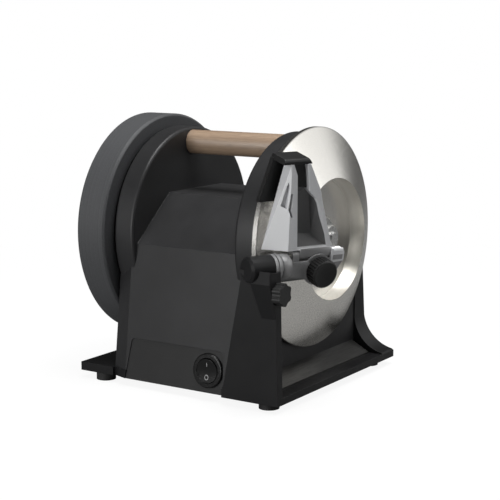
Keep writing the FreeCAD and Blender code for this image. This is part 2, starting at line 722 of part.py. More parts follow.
# Drive train
def gear(teeth, x_low, x_high, y, z, bore_r, phase):
    """A spur gear along X whose first tooth points at the phase angle, from +Y towards +Z."""
    pitch_r = gear_module * teeth / 2
    base_r = pitch_r * math.cos(pressure_angle)
    tip_r = pitch_r + 0.8 * gear_module
    root_r = pitch_r - 1.1 * gear_module
    half_tooth = (math.pi * gear_module / 2 - backlash) / (2 * pitch_r)

    def involute(radius):
        """How far the flank has turned from the base circle at a radius."""
        if radius <= base_r:
            return 0.0
        angle = math.acos(base_r / radius)
        return math.tan(angle) - angle

    def point(radius, angle):
        return V(x_low, y + radius * math.cos(angle), z + radius * math.sin(angle))

    start = half_tooth + involute(pitch_r)
    edges = []
    for k in range(teeth):
        centre = phase + 2 * math.pi * k / teeth
        next_centre = centre + 2 * math.pi / teeth
        root_a = point(root_r, centre - start)
        flank_a = point(tip_r, centre - start + involute(tip_r))
        flank_b = point(tip_r, centre + start - involute(tip_r))
        root_b = point(root_r, centre + start)
        next_root = point(root_r, next_centre - start)
        mid_r = pitch_r
        mid_a = point(mid_r, centre - half_tooth)
        mid_b = point(mid_r, centre + half_tooth)
        edges.append(Part.makeLine(root_a, mid_a))
        edges.append(Part.makeLine(mid_a, flank_a))
        edges.append(Part.makeLine(flank_a, flank_b))
        edges.append(Part.makeLine(flank_b, mid_b))
        edges.append(Part.makeLine(mid_b, root_b))
        edges.append(Part.makeLine(root_b, next_root))
    face = Part.Face(Part.Wire(edges))
    solid = face.extrude(V(x_high - x_low, 0, 0))
    if bore_r > 0:
        solid = solid.cut(x_cylinder(x_low - 1, x_high + 1, y, z, bore_r))
    return solid


counter_reach = gear_module * (spindle_teeth + counter_small_teeth) / 2
motor_reach = gear_module * (pinion_teeth + counter_large_teeth) / 2
counter_z = axis_z - math.sqrt(counter_reach ** 2 - counter_y ** 2)
motor_z = counter_z - math.sqrt(motor_reach ** 2 - counter_y ** 2)
small_gear_x = counter_gear_x + gear_face + 1.0
to_counter = math.atan2(counter_z - axis_z, counter_y)
to_motor = math.atan2(motor_z - counter_z, -counter_y)
half_small = math.pi / counter_small_teeth
half_pinion = math.pi / pinion_teeth
plate_gap = 1.0
left_plate_x = counter_gear_x - 4.0
gear_plate = 3.0
right_plate_x = small_gear_x + gear_face + plate_gap

save(gear(spindle_teeth, small_gear_x + 0.5, small_gear_x + gear_face - 0.5, 0, axis_z, shaft_r,
          to_counter), "driven_gear")
small = gear(counter_small_teeth, small_gear_x - 1.0, small_gear_x + gear_face, counter_y, counter_z,
             counter_shaft_r, to_counter + math.pi + half_small)
large = gear(counter_large_teeth, counter_gear_x, counter_gear_x + gear_face, counter_y, counter_z,
             counter_shaft_r, to_motor)
save(fused([small, large]), "counter_gear")
counter_left = left_plate_x + 0.5
counter_right = right_plate_x + gear_plate - 0.5
save(x_cylinder(counter_left, counter_right, counter_y, counter_z, counter_shaft_r), "counter_shaft")
save(gear(pinion_teeth, counter_gear_x + 0.5, counter_gear_x + gear_face - 0.5, 0, motor_z,
          motor_shaft_r, to_motor + math.pi + half_pinion), "motor_pinion")
motor_x = left_plate_x - motor_length
save(x_cylinder(motor_x + 4, counter_gear_x + gear_face, 0, motor_z, motor_shaft_r).fuse(
    x_cylinder(motor_x + 8, left_plate_x - 6, 0, motor_z, motor_r * 0.55)).removeSplitter(),
    "motor_rotor")


def make_motor_can():
    """The motor's can with two flats, a hollow for the rotor and bearing bosses at its ends."""
    can = x_cylinder(motor_x, left_plate_x, 0, motor_z, motor_r)
    keep = block(motor_x, left_plate_x, -motor_r, motor_r, motor_z - motor_r * 0.86,
                 motor_z + motor_r * 0.86)
    can = can.common(keep)
    can = can.cut(x_cylinder(motor_x + 7, left_plate_x - 5, 0, motor_z, motor_r * 0.55 + 1.0))
    return can.cut(x_cylinder(motor_x + 3, left_plate_x + 1, 0, motor_z, motor_shaft_r + running_gap))


save(make_motor_can(), "motor_can")


def make_gear_frame():
    """Two plates that carry the counter shaft and the motor, joined by four pillars to the base."""
    plates = []
    for x in (left_plate_x, right_plate_x):
        plates.append(block(x, x + gear_plate, -motor_r, motor_r + 8, floor_z - 4, counter_z + 8))
    foot = block(left_plate_x, right_plate_x + gear_plate, -motor_r, motor_r + 8, base_bottom
                 + base_thick, floor_z + 3)
    frame = fused([plates[0], plates[1], foot])
    frame = frame.cut(block(left_plate_x - 1, right_plate_x + gear_plate + 1, -60, 60, 0, floor_z))
    frame = frame.cut(x_cylinder(left_plate_x - 1, left_plate_x + gear_plate + 1, 0, motor_z,
                                 motor_shaft_r + 2))
    frame = frame.cut(x_cylinder(left_plate_x - 1, right_plate_x + gear_plate + 1, counter_y,
                                 counter_z, counter_shaft_r + running_gap))
    return frame


save(make_gear_frame(), "gear_frame")
board_x = -20.0
save(block(board_x - 18, board_x + 18, -58, -28, floor_z, floor_z + 1.6), "circuit_board")


# Knife guide
def make_guide_frame():
    """The cast guide: a tall tapered plate with a deep pocket, a window and a hinge knuckle."""
    plate = guide_prism([(guide_foot_left, guide_foot), (guide_top_left, guide_top),
                         (guide_top_right, guide_top), (shoulder_t, shoulder_s + 3.0),
                         (shoulder_t + 2.4, shoulder_s - 2.0), (guide_foot_right, guide_foot)],
                        guide_back, guide_front)
    bevel_z = guide_front - bevel_h
    bevel = Part.Face(Part.makePolygon([
        V(guide_foot_left - 1, guide_foot, bevel_z - bevel_h / bevel_w),
        V(guide_foot_left + bevel_w, guide_foot, guide_front),
        V(guide_foot_left + bevel_w, guide_foot, guide_front + 1),
        V(guide_foot_left - 1, guide_foot, guide_front + 1),
        V(guide_foot_left - 1, guide_foot, bevel_z - bevel_h / bevel_w)]))
    plate = plate.cut(bevel.extrude(V(guide_top_left - guide_foot_left, guide_top - guide_foot, 0)))
    pocket = guide_prism([(-18.9 + pocket_wall, guide_foot + 2.0), (-26.3 + pocket_wall, 53.5),
                          (-30.5 + pocket_wall, guide_top + 1), (guide_top_right - 2.4, guide_top + 1),
                          (shoulder_t - 2.4, shoulder_s + 2.6), (shoulder_t + 0.2, shoulder_s - 2.4),
                          (5.2, guide_foot + 2.0)],
                         guide_back + pocket_floor, guide_front + 1)
    plate = plate.cut(pocket)
    window = guide_prism([(-36.0, 36.0), (-33.4, 49.4), (-30.6, 43.5), (-29.6, 31.2)],
                         guide_back - 1, guide_front + 1)
    notch = guide_prism([(-29.0, 30.0), (-28.2, 44.0), (-26.6, 43.0), (-25.6, 27.0)],
                        guide_back - 1, guide_front + 1)
    plate = plate.cut(window).cut(notch)
    knuckle = guide_rod(knuckle_left + loose_gap, knuckle_right - loose_gap, tilt_s, tilt_q, knuckle_r)
    web = guide_prism([(knuckle_left + loose_gap, tilt_s), (knuckle_right - loose_gap, tilt_s),
                       (knuckle_right - loose_gap, guide_foot + 1),
                       (knuckle_left + loose_gap, guide_foot + 1)],
                      tilt_q - knuckle_r, tilt_q + knuckle_r)
    plate = plate.fuse([knuckle, web])
    for t, s in jaw_pins:
        plate = plate.cut(Part.makeCylinder(jaw_pin_r + running_gap, jaw_pin_reach + 1.0,
                                            V(t, s, guide_back - 1.0), V(0, 0, 1)))
    plate = plate.cut(guide_rod(knuckle_left - 1, knuckle_right + 1, tilt_s, tilt_q,
                                tilt_pin_r + running_gap))
    return plate.removeSplitter()


def make_guide_cap():
    """The black top of the guide with the leaf behind the knife slot."""
    leaf_back = guide_back - slot_width - leaf_thick
    top = guide_prism([(guide_top_left - 1, guide_top), (guide_top_left, guide_top + cap_height),
                       (guide_top_right - 1, guide_top + cap_height), (guide_top_right + 1, guide_top)],
                      leaf_back, guide_front)
    soft = [edge for edge in top.Edges if edge.CenterOfMass.z > guide_front - 0.1
            and edge.CenterOfMass.y > guide_top + cap_height - 0.1]
    top = top.makeFillet(cap_height - 0.6, soft)
    leaf = guide_prism([(guide_top_left - 8, leaf_foot), (guide_top_left - 1, guide_top + 1),
                        (guide_top_right - 1, guide_top + 1), (guide_top_right - 3, leaf_foot)],
                       leaf_back, leaf_back + leaf_thick)
    flap = guide_prism([(-22.4, 45.0), (-28.6, guide_top), (guide_top_right - 3.2, guide_top),
                        (shoulder_t - 3.6, 44.0)],
                       guide_back + pocket_floor + loose_gap, guide_back + pocket_floor + 3.0)
    return top.fuse([leaf, flap]).removeSplitter()


def make_jaw():
    """The sprung jaw that presses the blade against the leaf."""
    jaw = guide_prism([(-34.0, 38.0), (-31.5, guide_top - 6), (-19.0, guide_top - 6), (-17.0, 38.0)],
                      guide_back - 1.6, guide_back - jaw_travel)
    for t, s in jaw_pins:
        jaw = jaw.fuse(Part.makeCylinder(jaw_pin_r, jaw_pin_reach, V(t, s, guide_back - 1.0),
                                         V(0, 0, 1)))
    return jaw.removeSplitter()


def make_guide_arm():
    """The carrier: a cast bar with hinge ears above and a boss on the swing axis at its left end."""
    end_r = (bar_top - bar_foot) / 2
    bar = guide_prism([(barrel_right + loose_gap, bar_foot), (barrel_right + loose_gap, bar_top),
                       (bar_right - end_r, bar_top), (bar_right - end_r, bar_foot)],
                      bar_back, bar_front)
    bar_end = Part.makeCylinder(end_r, bar_front - bar_back,
                                V(bar_right - end_r, bar_foot + end_r, bar_back), V(0, 0, 1))
    clear_back = Part.Face(Part.makePolygon([
        V(barrel_right, bar_foot - 1, bar_back - 1), V(barrel_right, bar_foot - 1, bar_front - 2),
        V(barrel_right, bar_foot + 5, bar_back - 1), V(barrel_right, bar_foot - 1, bar_back - 1)]))
    bar = bar.fuse(bar_end).cut(clear_back.extrude(V(bar_right - barrel_right + 1, 0, 0)))
    parts = [bar]
    for t_low in (knuckle_left - ear_w, knuckle_right):
        parts.append(guide_rod(t_low, t_low + ear_w, tilt_s, tilt_q, knuckle_r))
        parts.append(guide_prism([(t_low, bar_top - 1), (t_low + ear_w, bar_top - 1),
                                  (t_low + ear_w, tilt_s), (t_low, tilt_s)],
                                 tilt_q - knuckle_r, tilt_q + knuckle_r))
    boss = guide_rod(barrel_right + loose_gap, boss_right, barrel_s, barrel_q, boss_r)
    boss = boss.makeChamfer(0.8, [edge for edge in boss.Edges if edge.Length > boss_r * 4])
    parts.append(boss)
    arm = parts[0].fuse(parts[1:])
    arm = arm.cut(guide_rod(knuckle_left - ear_w - 1, knuckle_right + ear_w + 1, tilt_s, tilt_q,
                            tilt_pin_r))
    knob_hole = Part.makeCylinder(knob_stem_r + running_gap, guide_front + 20,
                                  V(knob_t, knob_s, bar_back - 5), V(0, 0, 1))
    ring = Part.makeCylinder(dial_r, dial_thick + 0.2, V(knob_t, knob_s, bar_front - 0.2), V(0, 0, 1))
    arm = arm.fuse(ring).cut(knob_hole)
    arm = arm.cut(guide_rod(barrel_right, boss_right + 1, barrel_s, barrel_q, pivot_r))
    return on_guide(arm.removeSplitter())


save(on_guide(make_guide_frame()), "guide_frame")
save(on_guide(make_guide_cap()), "guide_cap")
save(on_guide(make_jaw()), "blade_jaw")
save(make_guide_arm(), "guide_arm")
save(on_guide(guide_rod(knuckle_left - ear_w, knuckle_right + ear_w, tilt_s, tilt_q, tilt_pin_r)),
     "tilt_pin")
save(barrel_cylinder(barrel_right - pivot_depth + 1, boss_right, pivot_r), "guide_pivot")


def make_angle_knob():
    """A knurled knob with a slightly hollow face and a stem through the bar."""
    low = bar_front + dial_thick + loose_gap
    rim = []
    for k in range(2 * knob_ribs):
        radius = knob_r - knob_rib_depth * (k % 2)
        angle = math.pi * k / knob_ribs
        rim.append(V(radius * math.cos(angle), radius * math.sin(angle), low))
    knob = Part.Face(Part.makePolygon(rim + rim[:1])).extrude(V(0, 0, knob_length))
    soft = 1.2
    envelope = Part.makeCylinder(knob_r, knob_length, V(0, 0, low), V(0, 0, 1))
    envelope = envelope.makeChamfer(soft, [edge for edge in envelope.Edges
                                           if edge.Length > knob_r * 4])
    knob = knob.common(envelope)
    hollow_r = 3 * knob_r
    face = Part.makeSphere(hollow_r, V(0, 0, low + knob_length + hollow_r - 1.2))
    knob = knob.cut(face)
    stem = Part.makeCylinder(knob_stem_r, low - bar_back + 0.5, V(0, 0, bar_back), V(0, 0, 1))
    knob = knob.fuse(stem)
    knob.translate(V(knob_t, knob_s, 0))
    return knob.removeSplitter()


save(on_guide(make_angle_knob()), "angle_knob")

star_x = base_right + loose_gap
star_centre = V(star_x, star_y, star_z)
star = x_cylinder(star_x, star_x + star_thick, star_centre.y, star_centre.z, star_r - 1.2)
lobes = []
for k in range(star_lobes):
    angle = 2 * math.pi * k / star_lobes + math.pi / 6
    lobes.append(x_cylinder(star_x, star_x + star_thick,
                            star_centre.y + (star_r - lobe_r) * math.cos(angle),
                            star_centre.z + (star_r - lobe_r) * math.sin(angle), lobe_r))
star = star.fuse(lobes)
star = star.fuse(x_cylinder(base_right - 9, star_x + 1, star_centre.y, star_centre.z, star_screw_r))
save(star.removeSplitter(), "lock_knob")
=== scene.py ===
"""Looks of an electric knife sharpener: finishes, marks and small trim on its modelled parts.

Metres, in the model's own frame: +X out of the grinding wheel, -Y the front, +Z up.
"""
import json
import math

import bmesh
import bpy
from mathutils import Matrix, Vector
from mathutils.geometry import intersect_ray_tri


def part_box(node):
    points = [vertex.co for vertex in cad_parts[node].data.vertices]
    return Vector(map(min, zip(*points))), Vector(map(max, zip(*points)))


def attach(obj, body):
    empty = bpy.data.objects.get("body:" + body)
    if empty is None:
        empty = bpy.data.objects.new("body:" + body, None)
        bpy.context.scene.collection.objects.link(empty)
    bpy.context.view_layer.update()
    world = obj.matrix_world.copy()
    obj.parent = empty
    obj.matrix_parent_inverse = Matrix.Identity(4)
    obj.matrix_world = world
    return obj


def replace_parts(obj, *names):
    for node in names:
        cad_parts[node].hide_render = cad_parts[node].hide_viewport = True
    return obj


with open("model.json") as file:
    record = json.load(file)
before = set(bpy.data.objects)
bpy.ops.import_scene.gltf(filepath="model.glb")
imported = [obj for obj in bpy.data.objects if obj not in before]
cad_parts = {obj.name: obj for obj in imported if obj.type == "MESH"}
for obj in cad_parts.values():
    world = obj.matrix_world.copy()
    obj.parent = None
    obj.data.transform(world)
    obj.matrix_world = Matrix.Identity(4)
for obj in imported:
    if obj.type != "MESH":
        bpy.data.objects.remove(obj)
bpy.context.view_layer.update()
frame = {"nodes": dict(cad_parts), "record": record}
nodes = frame["nodes"]

MM = 0.001

# Camera of the photograph
CAMERA_AT = Vector((516.35, -778.23, 245.22)) * MM
CAMERA_AZIMUTH = math.radians(33.13)
CAMERA_DROP = math.radians(9.56)
SENSOR = 36.0
LENS = 96.51

# Studio: the world's light, the ceiling that metal and gloss see, and the floor. The ceiling's stops
# are (lean, tone), where the lean runs from -1 away from CEILING_AT to 1 towards it.
WORLD_TONE = (0.8, 0.8, 0.8)
WORLD_LEVEL = 0.22
CEILING_AT = (0.5, 0.7, 0.5)
CEILING_STOPS = [(-0.6, 0.07), (0.72, 0.04), (0.84, 0.12), (0.94, 1.0)]
FLOOR_HALF = 4.0
FLOOR_TONE = (0.2, 0.2, 0.2)
FLOOR_SEEN = (0.93, 0.93, 0.93)
FLOOR_WHITE = 0.9
FLOOR_MIRRORED = 0.03
SHADOW_NEAR = 0.12
SHADOW_FAR = 0.6
LAMP_AIM = (0.0, 0.0, 0.10)

# Wheel: the height of its axis in metres, and its rim, cone and recess in mm
AXIS_Z = 102.5 * MM
RIM_X = 61.7
RIM_R = 75.0
CONE_RISE = 15.3
RECESS_R = 41.35

# The guide's slanted frame: along the knife (t), up the guide (s) and out of it (q). All sizes of
# the guide and its bar are in mm.
EDGE_ANGLE = math.radians(13.0)
CONE_ANGLE = math.atan2(CONE_RISE, RIM_R - RECESS_R)
ALONG = Vector((math.sin(CONE_ANGLE), math.cos(CONE_ANGLE), 0))
OUTWARD = Vector((math.cos(CONE_ANGLE), -math.sin(CONE_ANGLE), 0))
GUIDE_OUT = OUTWARD * math.cos(EDGE_ANGLE) - Vector((0, 0, 1)) * math.sin(EDGE_ANGLE)
GUIDE_UP = Vector((0, 0, 1)) * math.cos(EDGE_ANGLE) + OUTWARD * math.sin(EDGE_ANGLE)
EDGE_POINT = OUTWARD * OUTWARD.dot(Vector((RIM_X, -RIM_R, 0))) * MM + Vector((0, 0, AXIS_Z))
GUIDE_BACK = 2.0
GUIDE_FRONT = 10.0
GUIDE_FOOT = 2.8
GUIDE_HEAD = 61.0

# Left leg: (t, s) outlines, and the foot and top of its slanted face's two borders
LEG_PROUD = 0.1
LEG_FOOT = (-40.3, GUIDE_FOOT)
LEG_TOP = (-31.2, GUIDE_HEAD)
LEG_SKIN = 2.1
LEG_INSIDE = (-20.0, 10.0, 3.0)
FACET_FOOT = (-24.9, 1.7)
FACET_TOP = (-31.0, GUIDE_HEAD)
FACET_LEAN = (0.8, 0.97)
LEG_OUTLINE = [LEG_FOOT, LEG_TOP, (-31.0, 60.9), (-29.9, 60.9), (-26.6, 48.7), (-25.2, 46.4),
               (-23.2, 31.9), (-22.1, 24.0), (-18.3, GUIDE_FOOT)]
LEG_WINDOW = [(-33.6, 33.3), (-31.9, 46.5), (-31.2, 49.5), (-30.2, 46.0), (-29.9, 31.6)]
LEG_SLOT = [(-28.9, 31.0), (-28.8, 41.8), (-27.4, 41.6), (-26.6, 30.0), (-24.7, 25.2), (-26.3, 25.6)]
WINDOW_FLOOR = [(-34.4, 31.5), (-31.7, 51.0), (-29.5, 48.0), (-29.2, 30.0)]
WINDOW_FLOOR_LOW = 2.3
WINDOW_FLOOR_HIGH = (3.4, 5.0, 7.4, 6.6)

# Casting: what of it is cut away, its pocket and its right arm
KNUCKLE_TOP = 2.7
WEB_FRONT = 10.55
LEG_CUT = [(-20.0, GUIDE_FOOT, GUIDE_BACK), (-31.8, GUIDE_HEAD, GUIDE_BACK), (-20.0, GUIDE_FOOT, 9.0)]
WEB_CUT = [(0.0, -5.0, WEB_FRONT), (10.0, -5.0, WEB_FRONT), (0.0, 5.0, WEB_FRONT)]
CASTING_INSIDE = (0.0, 20.0, 3.0)
POCKET_Q = 3.8
WALL_LOW = POCKET_Q - 0.2
WALL_FRONT = GUIDE_FRONT - 0.05
POCKET_FOOT = 3.2
ARM_FRONT = GUIDE_FRONT + 0.15
ARM_OUTLINE = [(-16.7, 60.9), (-6.9, 44.1), (-5.3, 40.6), (-3.9, 36.0), (9.2, GUIDE_FOOT),
               (4.9, GUIDE_FOOT), (-3.2, 28.1), (-8.5, 36.4), (-15.2, 43.0), (-18.9, 60.9)]

# Carrier bar: where its end is cut, the sight pieces on it, one painted bright as a painted highlight, and
# the collar on the barrel
BAR_END = 19.4
BAR_END_CUT = [(BAR_END, -4.0, GUIDE_BACK), (BAR_END, -10.0, GUIDE_BACK), (BAR_END, -4.0, 12.0)]
BAR_CORNER_CUT = [(BAR_END, -6.0, GUIDE_BACK), (12.5, -17.5, GUIDE_BACK), (BAR_END, -6.0, 12.0)]
BAR_INSIDE = (0.0, -10.0, 8.0)
SIGHT_PLATE = [(8.4, -7.6), (8.4, 2.4), (17.2, 2.4), (18.9, -1.2), (18.9, -7.0)]
SIGHT_WINDOW = [(10.0, -5.6), (10.0, -2.2), (17.6, -2.2), (17.6, -5.6)]
SIGHT_BLOCK = [(9.8, 0.2), (9.8, 1.9), (17.0, 1.9), (17.4, 0.2)]
BARREL_S = -6.3
BARREL_Q = 11.0
COLLAR_T = -38.6
COLLAR_PROFILE = [(0.0, 7.9), (0.5, 8.6), (2.2, 8.6), (2.5, 8.2), (2.9, 8.2),
                  (3.2, 8.6), (5.2, 8.6), (5.6, 8.1), (5.6, 5.0), (0.0, 5.0)]
COLLAR_SIDES = 48

# Marks on the rocker, in mm
MARK_ON_Z = 4.3
MARK_OFF_Z = -4.1
MARK_PROUD = 0.06
BAR_HALF_WIDE = 0.3
BAR_HALF_HIGH = 1.3
RING_INNER = 1.1
RING_OUTER = 1.6
RING_STRETCH = 1.15
RING_SIDES = 28


def guide_point(t, s, q):
    """A point in the guide's frame: along the knife, up the guide and out of it."""
    return EDGE_POINT + (ALONG * t + GUIDE_UP * s + GUIDE_OUT * q) * MM


# Node helpers
class Tree:
    """A small helper that adds and links nodes."""

    def __init__(self, tree):
        self.tree = tree

    def add(self, kind, **settings):
        node = self.tree.nodes.new(kind)
        for key, value in settings.items():
            setattr(node, key, value)
        return node

    def fill(self, socket, value):
        """Feed a socket from another socket, a plain colour or a number."""
        if isinstance(value, bpy.types.NodeSocket):
            self.tree.links.new(value, socket)
        elif isinstance(value, tuple) and len(value) == 3 and socket.type == "RGBA":
            socket.default_value = (*value, 1.0)
        else:
            socket.default_value = value

    def remap(self, value, low, high, to_low, to_high, **settings):
        node = self.add("ShaderNodeMapRange", **settings)
        node.inputs["From Min"].default_value = low
        node.inputs["From Max"].default_value = high
        node.inputs["To Min"].default_value = to_low
        node.inputs["To Max"].default_value = to_high
        self.fill(node.inputs["Value"], value)
        return node.outputs["Result"]

    def ramp(self, value, stops):
        node = self.add("ShaderNodeValToRGB")
        ramp = node.color_ramp
        while len(ramp.elements) < len(stops):
            ramp.elements.new(0.5)
        for element, (place, colour) in zip(ramp.elements, stops):
            element.position = place
            element.color = (*colour, 1.0)
        self.fill(node.inputs["Fac"], value)
        return node.outputs["Color"]

    def maths(self, operation, *values):
        node = self.add("ShaderNodeMath", operation=operation)
        for socket, value in zip(node.inputs, values):
            self.fill(socket, value)
        return node.outputs["Value"]

    def vector_maths(self, operation, *values):
        node = self.add("ShaderNodeVectorMath", operation=operation)
        for socket, value in zip(node.inputs, values):
            self.fill(socket, value)
        return node.outputs["Value"]

    def blend(self, factor, first, second, way="MIX"):
        """Mix two colours, each a socket or a plain colour."""
        mix = self.add("ShaderNodeMix", data_type="RGBA", blend_type=way)
        for socket, value in ((mix.inputs[0], factor), (mix.inputs[6], first), (mix.inputs[7], second)):
            self.fill(socket, value)
        return mix.outputs[2]

    def blend_surfaces(self, factor, first, second):
        mix = self.add("ShaderNodeMixShader")
        for socket, value in zip(mix.inputs, (factor, first, second)):
            self.fill(socket, value)
        return mix.outputs[0]

    def background(self, colour, strength):
        node = self.add("ShaderNodeBackground")
        self.fill(node.inputs["Color"], colour)
        node.inputs["Strength"].default_value = strength
        return node.outputs[0]

    def rays(self):
        """Whether the camera looks here, and whether gloss or glass does."""
        light = self.add("ShaderNodeLightPath").outputs
        to_gloss = self.maths("MAXIMUM", light["Is Glossy Ray"], light["Is Transmission Ray"])
        return light["Is Camera Ray"], to_gloss


class Shader(Tree):
    """A node material around one Principled surface."""

    def __init__(self, name):
        self.material = bpy.data.materials.new(name)
        self.material.use_nodes = True
        super().__init__(self.material.node_tree)
        self.surface = self.tree.nodes["Principled BSDF"]
        self.place = self.add("ShaderNodeTexCoord").outputs["Object"]

    def stretched(self, scale):
        """Object coordinates scaled per axis, for grain that runs one way."""
        mapping = self.add("ShaderNodeMapping")
        mapping.inputs["Scale"].default_value = scale
        self.fill(mapping.inputs["Vector"], self.place)
        return mapping.outputs["Vector"]

    def noise(self, scale, detail=3.0, rough=0.6, vector=None, distortion=0.0):
        node = self.add("ShaderNodeTexNoise")
        node.inputs["Scale"].default_value = scale
        node.inputs["Detail"].default_value = detail
        node.inputs["Roughness"].default_value = rough
        node.inputs["Distortion"].default_value = distortion
        self.fill(node.inputs["Vector"], vector or self.place)
        return node.outputs["Fac"]

    def bands(self, along, scale, detail=2.0):
        """Noise that changes along one measure only, as rings of turning or wear do."""
        node = self.add("ShaderNodeTexNoise", noise_dimensions="1D")
        node.inputs["Scale"].default_value = scale
        node.inputs["Detail"].default_value = detail
        self.fill(node.inputs["W"], along)
        return node.outputs["Fac"]

    def bump(self, height, strength, distance, under=None):
        node = self.add("ShaderNodeBump")
        node.inputs["Strength"].default_value = strength
        node.inputs["Distance"].default_value = distance
        self.fill(node.inputs["Height"], height)
        if under is not None:
            self.fill(node.inputs["Normal"], under)
        return node.outputs["Normal"]

    def soft_edge(self, radius):
        """A rounded normal for sharp edges, and how near to an edge a point lies."""
        bevel = self.add("ShaderNodeBevel", samples=4)
        bevel.inputs["Radius"].default_value = radius
        plain = self.add("ShaderNodeNewGeometry").outputs["Normal"]
        dot = self.vector_maths("DOT_PRODUCT", bevel.outputs["Normal"], plain)
        near = self.remap(dot, 0.98, 0.85, 0.0, 1.0)
        return bevel.outputs["Normal"], near

    def around_wheel(self):
        """Distance from the wheel axis, and place along it."""
        split = self.add("ShaderNodeSeparateXYZ")
        self.fill(split.inputs["Vector"], self.place)
        x, y, z = split.outputs
        up = self.maths("SUBTRACT", z, AXIS_Z)
        squares = self.maths("ADD", self.maths("MULTIPLY", y, y), self.maths("MULTIPLY", up, up))
        return self.maths("SQRT", squares), x

    def finish(self, **sockets):
        for key, value in sockets.items():
            self.fill(self.surface.inputs[key.replace("_", " ")], value)
        return self.material


# Finishes
def moulded_plastic(name, dark, light, rough=0.42, grain=900.0, depth=0.00006, sheen=0.3, edge=0.4):
    """Black moulded plastic: spark texture, faint cloudiness, uneven gloss and rubbed edges."""
    shader = Shader(name)
    body_colour = shader.ramp(shader.noise(28.0, 4.0, 0.55), [(0.3, dark), (0.7, light)])
    round_normal, rub = shader.soft_edge(edge * MM)
    patches = shader.remap(shader.noise(140.0, 4.0, 0.7), 0.35, 0.65, 0.1, 0.7)
    edge_colour = tuple(2.8 * part + 0.008 for part in light)
    colour = shader.blend(shader.maths("MULTIPLY", rub, patches), body_colour, edge_colour)
    gloss = shader.remap(shader.noise(60.0, 5.0, 0.7), 0.3, 0.7, rough - 0.05, rough + 0.06)
    normal = shader.bump(shader.noise(grain, 2.0, 0.7), 0.25, depth, round_normal)
    return shader.finish(Base_Color=colour, Roughness=gloss, Normal=normal, Specular_IOR_Level=sheen)


def rubber(name, dark, light, rough=0.7):
    """Matt rubber with fine dust in its pores."""
    shader = Shader(name)
    colour = shader.ramp(shader.noise(420.0, 5.0, 0.7), [(0.35, dark), (0.75, light)])
    normal = shader.bump(shader.noise(1500.0, 3.0, 0.7), 0.35, 0.00008)
    return shader.finish(Base_Color=colour, Roughness=rough, Normal=normal)


def beech(name):
    """Pale oiled wood with long grain, flecks and a few darker lines along X."""
    shader = Shader(name)
    rings = shader.noise(3.2, 5.0, 0.55, shader.stretched((3.0, 60.0, 60.0)), 0.6)
    base = shader.ramp(rings, [(0.25, (0.235, 0.155, 0.1)), (0.45, (0.31, 0.22, 0.15)),
                               (0.62, (0.27, 0.19, 0.13)), (0.8, (0.355, 0.26, 0.185))])
    fleck = shader.noise(1.3, 2.0, 0.5, shader.stretched((90.0, 900.0, 900.0)))
    darkening = shader.remap(fleck, 0.35, 0.62, 0.78, 1.0)
    colour = shader.blend(0.75, base, darkening, "MULTIPLY")
    normal = shader.bump(fleck, 0.3, 0.00012)
    gloss = shader.remap(rings, 0.3, 0.7, 0.34, 0.44)
    return shader.finish(Base_Color=colour, Roughness=gloss, Normal=normal, Specular_IOR_Level=1.0)


def turned_steel(name):
    """The dish: fine rings of turning, a smoother recess floor and a lip darkened as painted shade, to dim
    its bright edge reflection.
    """
    shader = Shader(name)
    radius = shader.around_wheel()[0]
    rings = shader.bands(radius, 4200.0, 3.0)
    cloud = shader.noise(9.0, 3.0, 0.5)
    tone = shader.maths("ADD", shader.maths("MULTIPLY", rings, 0.5), shader.maths("MULTIPLY", cloud, 0.5))
    face = shader.ramp(tone, [(0.3, (0.74, 0.72, 0.675)), (0.7, (0.87, 0.855, 0.815))])
    # The lip is painted darker: painted shade over the rim's bright edge reflection.
    lip_painted_shade = shader.remap(radius, (RIM_R - 0.9) * MM, (RIM_R - 0.2) * MM, 0.0, 1.0)
    colour = shader.blend(lip_painted_shade, face, (0.42, 0.41, 0.39))
    on_wall = shader.remap(radius, (RECESS_R - 1.6) * MM, (RECESS_R - 0.9) * MM, 0.20, 0.34)
    on_cone = shader.remap(radius, (RECESS_R - 0.2) * MM, (RECESS_R + 0.3) * MM, 0.0, -0.07)
    speckle = shader.remap(shader.noise(2600.0, 2.0, 0.7), 0.3, 0.7, -0.04, 0.04)
    gloss = shader.maths("ADD", shader.maths("ADD", on_wall, on_cone), speckle)
    tangent = shader.add("ShaderNodeTangent", direction_type="RADIAL", axis="X")
    return shader.finish(Base_Color=colour, Metallic=1.0, Roughness=gloss,
                         Normal=shader.bump(rings, 0.12, 0.00004),
                         Anisotropic=0.45, Tangent=tangent.outputs["Tangent"])


def plain_metal(name, tone, rough=0.28):
    """Bright hardware with faint uneven gloss."""
    shader = Shader(name)
    dull = tuple(0.88 * part for part in tone)
    colour = shader.ramp(shader.noise(180.0, 4.0, 0.6), [(0.3, dull), (0.7, tone)])
    gloss = shader.remap(shader.noise(500.0, 4.0, 0.7), 0.3, 0.7, rough - 0.06, rough + 0.08)
    normal = shader.bump(shader.noise(1400.0, 2.0, 0.7), 0.12, 0.00004)
    return shader.finish(Base_Color=colour, Metallic=1.0, Roughness=gloss, Normal=normal)


def blasted_metal(name, dark, light, metallic):
    """Cast guide metal: bead blasted, even and slightly sparkling, brighter on its rubbed edges."""
    shader = Shader(name)
    grain = shader.noise(2400.0, 3.0, 0.75)
    body_colour = shader.ramp(grain, [(0.3, dark), (0.7, light)])
    round_normal, rub = shader.soft_edge(0.3 * MM)
    edge_colour = tuple(min(0.9, 1.15 * part + 0.06) for part in light)
    colour = shader.blend(shader.maths("MULTIPLY", rub, 0.6), body_colour, edge_colour)
    normal = shader.bump(grain, 0.35, 0.0001, round_normal)
    gloss = shader.remap(shader.noise(90.0, 3.0, 0.6), 0.3, 0.7, 0.44, 0.52)
    return shader.finish(Base_Color=colour, Metallic=metallic, Roughness=gloss, Normal=normal)


